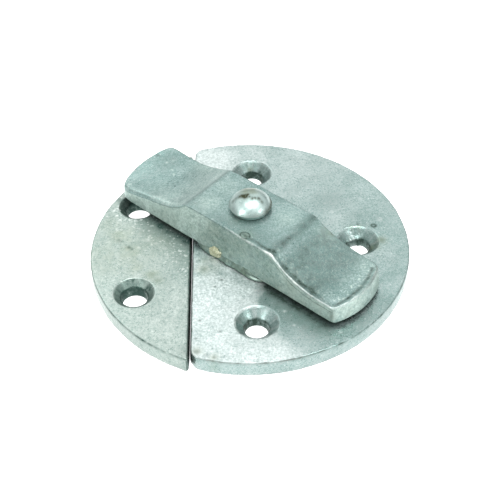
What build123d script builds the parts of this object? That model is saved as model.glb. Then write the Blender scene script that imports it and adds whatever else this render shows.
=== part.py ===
from build123d import *
import os
from math import asin, cos, radians, sin, sqrt, tan

# Round cabinet turn button, cast metal. A disc is parted along a straight line into a main plate and a
# smaller keeper plate, and a turning bar is riveted through the middle of the main plate.
# Millimetres. The flat backs lie on Z = 0 and +Z leaves the door. The origin is the disc's centre, and +Y
# runs along the parting line, with the keeper plate on the -X side.

# Plates
disc_radius = 35.0
plate_thickness = 3.75
keeper_drop = 0.05  # the keeper is this much thinner, so that the foot clears it as it turns
rim_round = 0.35
parting_offset = 12.17  # from the disc's centre to the main plate's straight edge
parting_gap = 0.55
main_corner_round = 2.6  # in plan
keeper_corner_round = 0.5
keeper_centre = (0.63, -1.40)  # centre of the keeper's rim where it lies beside the main plate

# Countersunk screw holes
sink_angle = 90
main_bore_radius = 2.65
main_sink_radius = 4.6
main_hole_circle = 23.9
main_hole_angles = (0, 87.2, -87.3)
keeper_bore_radius = 2.9
keeper_sink_radius = 4.3
keeper_holes = ((-24.85, -13.4), (-25.4, 14.2))  # from the keeper's centre

# Turning bar, measured in its own frame: U along the bar, V across it, the rivet's axis through U = V = 0
pivot = (0.4, 0.5)
bar_angle = -42.2
bar_near = 8.8  # from the rivet's axis to the side that faces -V, at the wings' underside
bar_far = 7.45
far_flare = 0.85  # the left wing widens by this much towards its end, on the far side only
bar_right = 30.7  # from the rivet's axis to the crown of each end, at the wings' underside
bar_left = 33.4
right_end_radius = 31.0  # of the bowed ends in plan
left_end_radius = 19.0
side_draft = 3.4
right_end_draft = 13.0
left_end_draft = 3.0
corner_round = 1.2
worn_corner_round = 3.0  # the left end's near corner
wing_lift = 0.95  # from the plate to the wings' underside
block_rise = 9.55  # from the plate to the block's flat top

# The wings' concave tops: how far each edge lies under the block's top at the stations, which are
# measured from the crease at the block's edge, and at the tip. The casting is a little twisted.
wing_stations = (4.0, 9.5, 15.0)
left_tip = 1.0  # the tip lies this far past the crown of the wing's end
right_tip = 4.1
left_near_crease = 11.4
left_near_drops = (2.4, 3.7, 4.85, 6.5)
left_far_crease = 11.8
left_far_drops = (1.95, 3.65, 3.8, 4.0)
right_near_crease = 12.6
right_near_drops = (2.45, 4.1, 4.4, 4.6)
right_far_crease = 12.2
right_far_drops = (2.1, 3.5, 3.9, 4.2)
crease_round = 1.0
arris_round = 0.5

# Foot under the block, which slides on the plate
foot_left = 8.8
foot_right = 11.3
foot_near = 9.2
foot_far = 7.5
foot_round = 3.0

# Rivet
shank_radius = 2.6
running_fit = 0.05  # radial, round the shank in the plate and in the bar
head_radius = 4.65
head_seat_radius = 4.15  # where the head's edge turns in to meet the block
head_edge = 1.0
head_height = 3.9
tail_radius = 4.2
tail_crown_radius = 3.3
tail_clearance = 0.7  # radial, round the tail in its recess
recess_depth = 1.4
tail_inset = 0.15  # the tail stays clear of the door

os.makedirs("parts", exist_ok=True)

main_edge = -parting_offset
keeper_edge = main_edge - parting_gap
keeper_thickness = plate_thickness - keeper_drop
block_top = plate_thickness + block_rise
wing_underside = plate_thickness + wing_lift
over = 10.0  # how far cutting shapes reach past what they cut
mostly = 0.7  # an edge or a face points along an axis when this share of its direction does


def countersunk_hole(x, y, bore_radius, sink_radius, thickness):
    """The space of one screw hole: a straight bore and a cone that opens at the plate's top."""
    sink_depth = (sink_radius - bore_radius) / tan(radians(sink_angle / 2))
    bore = Pos(x, y, thickness / 2) * Cylinder(bore_radius, thickness + over)
    sink = Pos(x, y, thickness - sink_depth / 2) * Cone(bore_radius, sink_radius, sink_depth)
    return bore + sink


def disc_segment(centre, thickness, edge, keep, plan_round):
    """The part of a round plate on one side of a straight edge along Y, with its two corners rounded."""
    reach = 2 * disc_radius + over
    disc = Pos(*centre) * Circle(disc_radius)
    half_plane = Pos(edge, 0) * Rectangle(reach, reach, align=(keep, Align.CENTER))
    outline = disc & half_plane
    outline = fillet(outline.vertices(), plan_round)
    plate = extrude(outline, thickness)
    return fillet(plate.edges().group_by(Axis.Z)[-1], rim_round)


def main_plate():
    """The larger segment, with its three screw holes, the rivet's hole and the recess for the rivet's tail."""
    plate = disc_segment((0, 0), plate_thickness, main_edge, Align.MIN, main_corner_round)
    for angle in main_hole_angles:
        x = main_hole_circle * cos(radians(angle))
        y = main_hole_circle * sin(radians(angle))
        plate -= countersunk_hole(x, y, main_bore_radius, main_sink_radius, plate_thickness)
    plate -= Pos(*pivot, plate_thickness / 2) * Cylinder(shank_radius + running_fit, plate_thickness + over)
    plate -= Pos(*pivot, recess_depth / 2) * Cylinder(tail_radius + tail_clearance, recess_depth)
    return plate


def keeper_plate():
    """The smaller segment, slid a little along the parting line, with its two screw holes."""
    plate = disc_segment(keeper_centre, keeper_thickness, keeper_edge, Align.MAX, keeper_corner_round)
    for x, y in keeper_holes:
        hole_x = keeper_centre[0] + x
        hole_y = keeper_centre[1] + y
        plate -= countersunk_hole(hole_x, hole_y, keeper_bore_radius, keeper_sink_radius, keeper_thickness)
    return plate


def bar_outline(height):
    """The bar's outline in plan at a height above the wings' underside, drawn in by the draft."""
    side_inset = height * tan(radians(side_draft))
    near = -bar_near + side_inset
    far = bar_far - side_inset
    flared = far + far_flare
    middle = (near + far) / 2
    left_middle = (near + flared) / 2
    right_bow = right_end_radius - sqrt(right_end_radius**2 - (far - middle) ** 2)
    left_bow = left_end_radius - sqrt(left_end_radius**2 - (flared - left_middle) ** 2)
    left = -bar_left + height * tan(radians(left_end_draft))
    right = bar_right - height * tan(radians(right_end_draft))
    outline = [
        Line((left + left_bow, near), (right - right_bow, near)),
        ThreePointArc((right - right_bow, near), (right, middle), (right - right_bow, far)),
        Line((right - right_bow, far), (-left_far_crease, far)),
        Line((-left_far_crease, far), (left + left_bow, flared)),
        ThreePointArc((left + left_bow, flared), (left, left_middle), (left + left_bow, near)),
    ]
    return Pos(0, 0, wing_underside + height) * make_face(outline)


def wing_line(side, crease, drops, tip):
    """The points of a wing's top line from its crease out to its tip: side is -1 on the left and 1 on the right."""
    places = [crease, *(crease + station for station in wing_stations), tip]
    return [(side * place, block_top - drop) for place, drop in zip(places, (0, *drops))]


def bar_elevation(v, left_crease, left_drops, right_crease, right_drops):
    """The bar's side view at one V: flat underside, flat block and a concave curve down each wing."""
    left_points = wing_line(-1, left_crease, left_drops, bar_left + left_tip)
    right_points = wing_line(1, right_crease, right_drops, bar_right + right_tip)
    left_end = left_points[-1]
    right_end = right_points[-1]
    outline = [
        Line(left_points[0], right_points[0]),
        Spline(right_points),
        Line(right_end, (right_end[0], wing_underside)),
        Line((right_end[0], wing_underside), (left_end[0], wing_underside)),
        Line((left_end[0], wing_underside), left_end),
        Spline(left_points),
    ]
    return Plane(origin=(0, v, 0), x_dir=(1, 0, 0), z_dir=(0, -1, 0)) * make_face(outline)


def upright_edges(shape):
    """The edges at a shape's corners, which stand up but for the draft."""
    return shape.edges().filter_by(lambda edge: abs(edge.tangent_at().Z) > mostly)


def outer_edges(faces):
    """The edges that bound a group of neighbouring faces, without those between them."""
    edges = [edge for face in faces for edge in face.edges()]
    return [edge for edge in edges if edges.count(edge) == 1]


def turn_button():
    """The cast bar: its drafted plan and its twisted side view cut each other, and the foot is under it."""
    plan = loft([bar_outline(0), bar_outline(block_rise)], ruled=True)
    worn_corner = upright_edges(plan).sort_by(lambda edge: edge.center().X + edge.center().Y)[0]
    plan = fillet(worn_corner, worn_corner_round)
    corners = upright_edges(plan).filter_by(lambda edge: edge.center().X > 0 or edge.center().Y > 0)
    plan = fillet(corners, corner_round)
    near_side = bar_elevation(-bar_near, left_near_crease, left_near_drops, right_near_crease, right_near_drops)
    far_side = bar_elevation(bar_far + far_flare, left_far_crease, left_far_drops, right_far_crease, right_far_drops)
    bar = plan & loft([near_side, far_side], ruled=True)

    block_edges = bar.edges().filter_by(lambda edge: edge.center().Z > block_top - arris_round)
    bar = fillet(block_edges.filter_by(lambda edge: abs(edge.tangent_at().Y) > mostly), crease_round)
    tops = bar.faces().filter_by(lambda face: face.normal_at(face.center()).Z > mostly)
    bar = fillet(outer_edges(tops), arris_round)

    foot = RectangleRounded(foot_left + foot_right, foot_near + foot_far, foot_round)
    foot_middle = ((foot_right - foot_left) / 2, (foot_far - foot_near) / 2, plate_thickness)
    bar += Pos(*foot_middle) * extrude(foot, wing_lift)
    bar -= Pos(0, 0, block_top / 2) * Cylinder(shank_radius + running_fit, block_top + over)
    return Pos(*pivot) * Rot(0, 0, bar_angle) * bar


def rivet():
    """Domed head on the block, shank through bar and plate, and the tail spread in the plate's recess."""
    dome_rise = head_height - head_edge
    dome_radius = (head_radius**2 + dome_rise**2) / (2 * dome_rise)
    half_angle = asin(head_radius / dome_radius) / 2
    dome_top = block_top + head_height
    dome_middle = (dome_radius * sin(half_angle), dome_top - dome_radius * (1 - cos(half_angle)))
    edge_height = block_top + head_edge
    tail_shoulder = (tail_inset + recess_depth) / 2
    profile = [
        Line((0, dome_top), (0, tail_inset)),
        Line((0, tail_inset), (tail_crown_radius, tail_inset)),
        Line((tail_crown_radius, tail_inset), (tail_radius, tail_shoulder)),
        Line((tail_radius, tail_shoulder), (tail_radius, recess_depth)),
        Line((tail_radius, recess_depth), (shank_radius, recess_depth)),
        Line((shank_radius, recess_depth), (shank_radius, block_top)),
        Line((shank_radius, block_top), (head_seat_radius, block_top)),
        Line((head_seat_radius, block_top), (head_radius, edge_height)),
        ThreePointArc((head_radius, edge_height), dome_middle, (0, dome_top)),
    ]
    return Pos(*pivot) * revolve(Plane.XZ * make_face(profile), Axis.Z)


sub_parts = {
    "main_plate": main_plate(),
    "keeper_plate": keeper_plate(),
    "turn_button": turn_button(),
    "rivet": rivet(),
}
for name, sub_part in sub_parts.items():
    sub_part.label = name
    export_step(sub_part, f"parts/{name}.step")
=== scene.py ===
import math

import bmesh
import bpy
import numpy as np
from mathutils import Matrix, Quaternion, Vector
from mathutils.geometry import delaunay_2d_cdt


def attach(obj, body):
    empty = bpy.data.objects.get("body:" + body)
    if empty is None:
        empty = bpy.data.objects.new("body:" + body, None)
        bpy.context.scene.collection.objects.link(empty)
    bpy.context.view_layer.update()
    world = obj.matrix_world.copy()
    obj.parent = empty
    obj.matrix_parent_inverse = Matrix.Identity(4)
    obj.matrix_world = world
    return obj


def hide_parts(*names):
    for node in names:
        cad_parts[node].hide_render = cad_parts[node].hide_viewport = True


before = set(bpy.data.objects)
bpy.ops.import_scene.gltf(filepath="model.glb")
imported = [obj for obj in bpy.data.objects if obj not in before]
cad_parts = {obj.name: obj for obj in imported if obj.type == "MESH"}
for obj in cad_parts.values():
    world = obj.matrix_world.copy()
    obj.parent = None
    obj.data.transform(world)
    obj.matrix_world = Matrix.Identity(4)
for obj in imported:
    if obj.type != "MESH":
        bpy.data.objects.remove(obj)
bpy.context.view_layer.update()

# Sizes are in millimetres up to the point where a mesh is made.
MM = 0.001

# Plates
disc_radius = 35.0
plate_thickness = 3.75
keeper_thickness = 3.70
main_edge = -12.17
keeper_edge = -12.72
keeper_centre = np.array([0.63, -1.40])
main_corner_round = 2.6
keeper_corner_round = 0.5
rim_round = 0.35
outline_step = 0.3
lattice_step = 0.27
lattice_row = 0.87  # from row to row, as a share of the step
lattice_shake = 0.15
back_lattice_step = 1.6
main_holes = ((23.9, 0.0, 2.65, 4.6), (1.168, 23.871, 2.65, 4.6), (1.126, -23.874, 2.65, 4.6))
keeper_holes = ((-24.22, -14.80, 2.9, 4.3), (-24.77, 12.80, 2.9, 4.3))
shank_hole_radius = 2.65
recess_radius = 4.9
recess_depth = 1.4
parting_line = -12.445
split_draft = 0.355
split_wear = 0.06

# Bar, in its own frame: U along it, V across it
pivot = np.array([0.4, 0.5])
bar_angle = math.radians(-42.2)
bar_cos, bar_sin = math.cos(bar_angle), math.sin(bar_angle)
bar_near = 8.8
bar_far = 7.45
far_flare = 0.85
bar_left = 33.4
bar_right = 31.6  # this end is 0.9 mm longer and more bowed than the CAD's, as the photograph shows it
left_end_radius = 19.0
right_end_radius = 18.0
side_draft = math.tan(math.radians(3.4))
left_end_draft = math.tan(math.radians(3.0))
right_end_draft = math.tan(math.radians(9.0))
wing_underside = 4.70
block_top = 13.30
foot_size = (8.8, 11.3, 9.2, 7.5)
foot_round = 3.0
foot_top = 6.2

# Wings: the drops of their edges under the block's top, at the stations out from the crease and at the tip
wing_stations = (4.0, 9.5, 15.0)
left_near_crease = 11.4
left_near_drops = (2.4, 3.7, 4.85, 6.5)
left_near_tip = 23.0
left_far_crease = 11.8
left_far_drops = (1.95, 3.65, 3.8, 4.0)
right_near_crease = 12.8
right_near_drops = (3.0, 4.6, 4.8, 4.8)
right_near_tip = 22.2
right_far_crease = 12.2
right_far_drops = (2.1, 3.5, 3.9, 4.2)
far_tip = 22.6
left_crease_softness = 0.8
right_crease_softness = 0.3
under_round = 0.3
spine_ends = (-25.5, 22.5)  # of the line down the middle of the top that the rows start on
bar_bore_radius = 2.65

# Rivet
head_radius = 4.65
head_seat_radius = 4.15
head_edge = 1.0
head_height = 3.9
shank_radius = 2.6
tail_radius = 4.2
tail_crown_radius = 3.3
tail_inset = 0.15

random_count = 4096  # a power of two, for the bits of a key
weld_distance = 2e-7  # metres
collapse_distance = 1e-8
inside_loops = 1  # delaunay_2d_cdt's output: the triangles inside the outer loop


def cloud(points, size, seed):
    """Smooth random values from -1 to 1 at points in space: random numbers at the corners of cubes of this
    size, blended over each cube by 3t^2 - 2t^3 along every axis."""
    table = np.random.default_rng(seed).uniform(-1, 1, random_count)
    cell = np.floor(points / size).astype(np.int64)
    along = points / size - cell
    along = along * along * (3 - 2 * along)
    total = np.zeros(points.shape[:-1])
    for corner in np.ndindex(2, 2, 2):
        x, y, z = np.moveaxis(cell + corner, -1, 0)
        key = ((x * 73856093) ^ (y * 19349663) ^ (z * 83492791)) & (random_count - 1)
        weight = np.where(corner, along, 1 - along).prod(-1)
        total += weight * table[key]
    return total


def smoothstep(value, low, high):
    """0 below low, 1 above high, and 3t^2 - 2t^3 between them. With low above high it falls instead."""
    t = np.clip((value - low) / (high - low), 0, 1)
    return t * t * (3 - 2 * t)


def turns(count):
    """The angles of this many points evenly round a circle."""
    return np.linspace(0, 2 * math.pi, count + 1)[:-1]


def level(xy, height):
    """Points in plan at one height."""
    return np.column_stack([xy, np.full(len(xy), height)])


def strongest(*amounts):
    """The largest of several amounts at each place."""
    return np.maximum.reduce(np.broadcast_arrays(*amounts))


def placed(name, data):
    """A new object with this data, in the scene."""
    made = bpy.data.objects.new(name, data)
    bpy.context.scene.collection.objects.link(made)
    return made


def piece(name, points, faces, paint, material, body, stands_for=None):
    """A closed mesh from points in millimetres and arrays of quads and triangles, on one of the CAD's bodies.
    paint gives the amount of each named finish at every point, for the material to read. One left out is 0."""
    mesh = bpy.data.meshes.new(name)
    corners = np.concatenate([f.ravel() for f in faces])
    counts = np.concatenate([np.full(len(f), f.shape[1]) for f in faces])
    mesh.vertices.add(points.size // 3)
    mesh.vertices.foreach_set("co", (points * MM).astype(np.float32).ravel())
    mesh.loops.add(len(corners))
    mesh.loops.foreach_set("vertex_index", corners.astype(np.int32))
    mesh.polygons.add(len(counts))
    starts = np.concatenate([[0], np.cumsum(counts)[:-1]])
    mesh.polygons.foreach_set("loop_start", starts.astype(np.int32))
    mesh.update(calc_edges=True)
    for finish, amount in paint.items():
        layer = mesh.attributes.new(finish, "FLOAT", "POINT")
        layer.data.foreach_set("value", np.clip(amount, 0, 1).astype(np.float32).ravel())
    welded = bmesh.new()
    welded.from_mesh(mesh)
    bmesh.ops.remove_doubles(welded, verts=welded.verts, dist=weld_distance)
    bmesh.ops.dissolve_degenerate(welded, edges=welded.edges, dist=collapse_distance)
    bmesh.ops.recalc_face_normals(welded, faces=welded.faces)
    welded.to_mesh(mesh)
    welded.free()
    mesh.polygons.foreach_set("use_smooth", np.ones(len(mesh.polygons), bool))
    mesh.materials.append(material)
    made = placed(name, mesh)
    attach(made, body)
    if stands_for:
        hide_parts(stands_for)


def grid_faces(rows, columns, joined=False):
    """Quads between neighbouring rows of a grid whose last column joins its first. In a joined grid the last row
    joins the first too."""
    down, across = np.meshgrid(np.arange(rows if joined else rows - 1), np.arange(columns), indexing="ij")
    beside, below = (across + 1) % columns, (down + 1) % rows
    quads = [down * columns + across, down * columns + beside, below * columns + beside, below * columns + across]
    return np.stack(quads, -1).reshape(-1, 4)


def segment_outline(radius, edge, corner, step):
    """Points and outward normals round the part of a disc beyond a straight edge at X = edge, anticlockwise:
    the disc's arc, a corner arc tangent to disc and edge, the edge, and the other corner arc."""
    corner_x = edge + corner
    corner_y = math.sqrt((radius - corner) ** 2 - corner_x**2)
    turn = math.atan2(corner_y, corner_x)
    arc = np.linspace(-turn, turn, int(2 * turn * radius / step))
    bend = np.linspace(turn, math.pi, max(6, int((math.pi - turn) * corner / 0.12)))[1:]
    straight = np.linspace(corner_y, -corner_y, int(2 * corner_y / step))[1:]
    arc_way = np.stack([np.cos(arc), np.sin(arc)], -1)
    bend_way = np.stack([np.cos(bend), np.sin(bend)], -1)
    back_way = bend_way[::-1] * (1, -1)
    straight_points = np.stack([np.full_like(straight, edge), straight], -1)
    points = [radius * arc_way, bend_way * corner + (corner_x, corner_y), straight_points]
    points += [(back_way * corner + (corner_x, -corner_y))[1:-1]]
    ways = [arc_way, bend_way, np.tile((-1.0, 0.0), (len(straight), 1)), back_way[1:-1]]
    return np.concatenate(points), np.concatenate(ways)


circle = np.column_stack([np.cos(turns(144)), np.sin(turns(144))])


def fill(outline, inset, loops, holes, step, seed):
    """Triangles over a flat convex outline with round holes: the loops' own points and a shaken triangular
    lattice between them, joined by Delaunay's rule. The loops run anticlockwise, and a triangle with all its
    corners on one loop lies inside it where they follow the loop's order: the outer loop drops those that
    don't, and a hole's loop those that do."""
    low, high = outline.min(0), outline.max(0)
    across, up = np.meshgrid(np.arange(low[0], high[0], step), np.arange(low[1], high[1], step * lattice_row))
    across = across + (np.arange(len(up))[:, None] % 2) * step / 2
    inner = np.stack([across, up], -1).reshape(-1, 2)
    inner = inner + np.random.default_rng(seed).uniform(-lattice_shake, lattice_shake, inner.shape) * step
    side = np.roll(outline, -1, 0) - outline
    inward = np.stack([-side[:, 1], side[:, 0]], -1) / np.linalg.norm(side, axis=1, keepdims=True)
    clear = ((inner @ inward.T) - (outline * inward).sum(1)).min(1) > inset + 0.5 * step
    for x, y, radius in holes:
        clear &= np.hypot(inner[:, 0] - x, inner[:, 1] - y) > radius + 0.5 * step
    points = np.concatenate([*loops, inner[clear]])
    starts = np.cumsum([0] + [len(loop) for loop in loops])
    runs = [np.arange(first, last) for first, last in zip(starts, starts[1:])]
    edges = np.concatenate([np.stack([run, np.roll(run, -1)], -1) for run in runs])
    made = delaunay_2d_cdt(points.tolist(), edges.tolist(), [], inside_loops, 1e-7, False)
    triangles = np.array(made[2])
    follows = (np.diff(triangles, axis=1, append=triangles[:, :1]) > 0).sum(1) == 2
    keep = np.ones(len(triangles), bool)
    for number, run in enumerate(runs):
        on_loop = ((triangles >= run[0]) & (triangles <= run[-1])).all(1)
        keep &= ~(on_loop & (follows == (number > 0)))
    return np.array([v[:] for v in made[0]]), triangles[keep]


def pitted(seed, count, low, high):
    """Random small marks over a rectangle of a plate."""
    random = np.random.default_rng(seed)
    centres = random.uniform(low, high, (count, 2))
    sizes = random.uniform(0.15, 0.32, (count, 1))
    depths = random.uniform(0.01, 0.04, (count, 1))
    return np.concatenate([centres, sizes, depths], 1)


def screw_hole(x, y, bore, sink, thickness, slow_seed, quick_seed):
    """The wall of a countersunk hole, in rows from the top down: a rounded mouth, a 90 degree cone, and a bore
    that narrows to the back. Below the mouth it moves in and out by slow and quick random amounts and flaws.
    Gives the rows, and the hole's centre with its radii at the top and the back."""
    depth = sink - bore
    profile = [(sink + 0.16, 0.0), (sink + 0.05, 0.03), (sink - 0.05, 0.12)]
    profile += [(sink - depth * share, depth * share) for share in np.linspace(0.12, 0.9, 12)]
    profile += [(bore + 0.06, depth - 0.02), (bore - 0.02, depth + 0.10), (bore - 0.05, depth + 0.32)]
    profile += [(bore - 0.08, depth + 0.55), (bore - 0.12, (depth + thickness) / 2)]
    profile += [(bore - 0.24, thickness - 0.5), (bore - 0.30, thickness - 0.15), (bore - 0.26, thickness)]
    rows = []
    for radius, down in profile:
        place = level(circle * radius + (x, y), thickness - down)
        rough = 0.035 * cloud(place, 0.9, quick_seed) + 0.05 * cloud(place, 3.0, slow_seed) - 0.03
        flaw = spots(place, hole_flaws, np.add) * (down > 0.2)
        place[:, :2] += circle * (rough * (0.2 < down < thickness - 0.2) + flaw)[:, None]
        rows.append(place)
    return np.stack(rows), (x, y, (profile[0][0], profile[-1][0]))


def plate(name, outline, ways, thickness, holes, tail, marks, paint, material, node, seed):
    """A cast plate. Its rim and its holes are profiles carried round their outlines, each row moved along the
    outline's normal and in height, and its two faces are filled between them. The top face dips by slow
    waves, a fine grain and small marks, and the rim wears in by a slow random amount."""
    space = level(outline, 0.0)
    worn = 0.05 * (1 + cloud(space, 2.1, seed)) + 0.03 * (1 + cloud(space, 0.8, seed + 1))
    split = rounded((np.abs(outline[:, 0] - parting_line) < 0.3).astype(float), 4)
    worn += (split_wear - worn) * split
    turn = np.radians([0, 15, 30, 45, 60, 75, 90])
    profile = [(rim_round * (1 - math.sin(t)), thickness - rim_round * (1 - math.cos(t))) for t in turn]
    profile += [(0.0, thickness * share) for share in (0.72, 0.5, 0.3, 0.12)] + [(0.12, 0.0)]
    rim = []
    for inset, height in profile:
        inwards = inset + worn - split * split_draft * (1 - height / thickness)
        rim.append(level(outline - ways * inwards[:, None], height))
    walls, gaps = [np.stack(rim)], []
    for number, hole in enumerate(holes):
        wall, gap = screw_hole(*hole, thickness, seed + 11 * number, seed + 7 * number)
        walls.append(wall)
        gaps.append(gap)
    if tail:
        profile = [(shank_hole_radius, thickness), (shank_hole_radius, recess_depth), (recess_radius, recess_depth)]
        profile += [(recess_radius, 0.0)]
        walls.append(np.stack([level(circle * radius + pivot, height) for radius, height in profile]))
        gaps.append((*pivot, (shank_hole_radius, recess_radius)))
    points, faces, first = [], [], 0
    for wall in walls:
        points.append(wall.reshape(-1, 3))
        faces.append(grid_faces(*wall.shape[:2]) + first)
        first += len(points[-1])
    for end, height, step in ((0, thickness, lattice_step), (-1, 0.0, back_lattice_step)):
        loops = [wall[end, :, :2] for wall in walls]
        rounds = [(x, y, radii[end]) for x, y, radii in gaps]
        flat, triangles = fill(outline, rim_round + 0.17, loops, rounds, step, seed)
        points.append(level(flat, height))
        faces.append(triangles + first)
        first += len(flat)
    points = np.concatenate(points)
    faces = [np.concatenate(faces[: len(walls)]), np.concatenate(faces[len(walls) :])]
    finishes = paint(points)
    dip = 0.035 * (1 + cloud(points, 11.0, seed + 2)) + 0.014 * (1 + cloud(points, 2.6, seed + 3))
    dip += 0.006 * (1 + cloud(points, 0.9, seed + 4)) + spots(points, marks, np.add)
    points[:, 2] -= smoothstep(points[:, 2], 0.55 * thickness, thickness) * dip
    piece(name, points, faces, finishes, material, "plates", node)


def wing_drop(out, drops, tip):
    """How far a wing's edge lies under the block's top at a distance out from its crease: a cubic through the
    four stations and the tip, with each slope the mean of those beside it."""
    at = np.array([0.0, *wing_stations, tip])
    down = np.array([0.0, *drops])
    slopes = np.diff(down) / np.diff(at)
    tangents = np.array([slopes[0] * 1.45, *((slopes[1:] + slopes[:-1]) / 2), slopes[-1] * 0.9])
    out = np.clip(out, 0, tip)
    k = np.clip(np.searchsorted(at, out, side="right") - 1, 0, len(at) - 2)
    wide = at[k + 1] - at[k]
    t = (out - at[k]) / wide
    rise = (2 * t**3 - 3 * t**2 + 1) * down[k] + (3 * t**2 - 2 * t**3) * down[k + 1]
    return rise + wide * ((t**3 - 2 * t**2 + t) * tangents[k] + (t**3 - t**2) * tangents[k + 1])


def past_crease(out, softness):
    """Distance out from a crease, 0 before it, with the corner between them softened by a hyperbola."""
    return (out + np.sqrt(out * out + softness * softness)) / 2


def bar_top_height(u, v):
    """Height of the bar's top over (U, V): the block's flat top, and beyond each crease the drop of the near
    and far edges blended straight across the bar."""
    across = np.clip((v + bar_near) / (bar_near + bar_far + far_flare), 0, 1)
    left, right = left_crease_softness, right_crease_softness
    near = wing_drop(past_crease(-u - left_near_crease, left), left_near_drops, left_near_tip)
    near += wing_drop(past_crease(u - right_near_crease, right), right_near_drops, right_near_tip)
    far = wing_drop(past_crease(-u - left_far_crease, left), left_far_drops, far_tip)
    far += wing_drop(past_crease(u - right_far_crease, right), right_far_drops, far_tip)
    return block_top - near * (1 - across) - far * across


def bowed(v, middle, radius):
    """How far a circle arc lies back from its crown at this distance from the middle."""
    return radius - np.sqrt(radius**2 - (v - middle) ** 2)


def bar_plan(share, rise):
    """The bar's outline in plan at heights above the wings' underside. share runs 0 to 4 round it, one unit
    each for the near side, the right end, the far side and the left end. The ends bow as circle arcs."""
    inset = rise * side_draft
    near = -bar_near + inset
    far = bar_far - inset
    flared = far + far_flare
    left = -bar_left + rise * left_end_draft
    right = bar_right - rise * right_end_draft
    middle, left_middle = (near + far) / 2, (near + flared) / 2
    side = np.floor(share).astype(int) % 4
    t = share - np.floor(share)
    low_u = left + bowed(flared, left_middle, left_end_radius)
    high_u = right - bowed(far, middle, right_end_radius)
    near_u, far_u = low_u + (high_u - low_u) * t, high_u + (low_u - high_u) * t
    flare = far_flare * np.clip((-left_far_crease - far_u) / (-left_far_crease - low_u), 0, 1)
    right_v = near + (far - near) * t
    left_v = flared + (near - flared) * t
    right_u = right - bowed(right_v, middle, right_end_radius)
    left_u = left + bowed(left_v, left_middle, left_end_radius)
    sides = [side == 0, side == 1, side == 2]
    u = np.select(sides, [near_u, right_u, far_u], left_u)
    return u, np.select(sides, [near + 0 * t, right_v, far + flare], left_v)


def rounded(ring, width):
    """A closed ring of points with its corners worn round, by a bell-shaped mean along its length."""
    reach = np.arange(-3 * width, 3 * width + 1)
    weights = np.exp(-0.5 * (reach / width) ** 2)
    weights = weights / weights.sum()
    return sum(w * np.roll(ring, int(k), axis=-1) for k, w in zip(reach, weights))


def to_part(u, v, z):
    """Points of the bar's frame in the part's frame."""
    return np.stack([pivot[0] + u * bar_cos - v * bar_sin, pivot[1] + u * bar_sin + v * bar_cos, z + 0 * u], -1)


def from_part(points):
    """U, V and height of points in the part's frame."""
    x, y = points[..., 0] - pivot[0], points[..., 1] - pivot[1]
    return x * bar_cos + y * bar_sin, y * bar_cos - x * bar_sin, points[..., 2]


def bell(distance, width):
    """1 at no distance, falling away as exp of minus the square of distance over width."""
    return np.exp(-((distance / width) ** 2))


def spots(places, centres, join=np.maximum):
    """Soft round spots over places, each with its centre, radius and strength: the strongest at each place, or
    their sum where join is np.add."""
    amount = np.zeros(places.shape[:-1])
    for *centre, radius, strength in centres:
        away = np.sqrt(((places[..., : len(centre)] - centre) ** 2).sum(-1))
        amount = join(amount, strength * bell(away, radius))
    return amount


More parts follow.
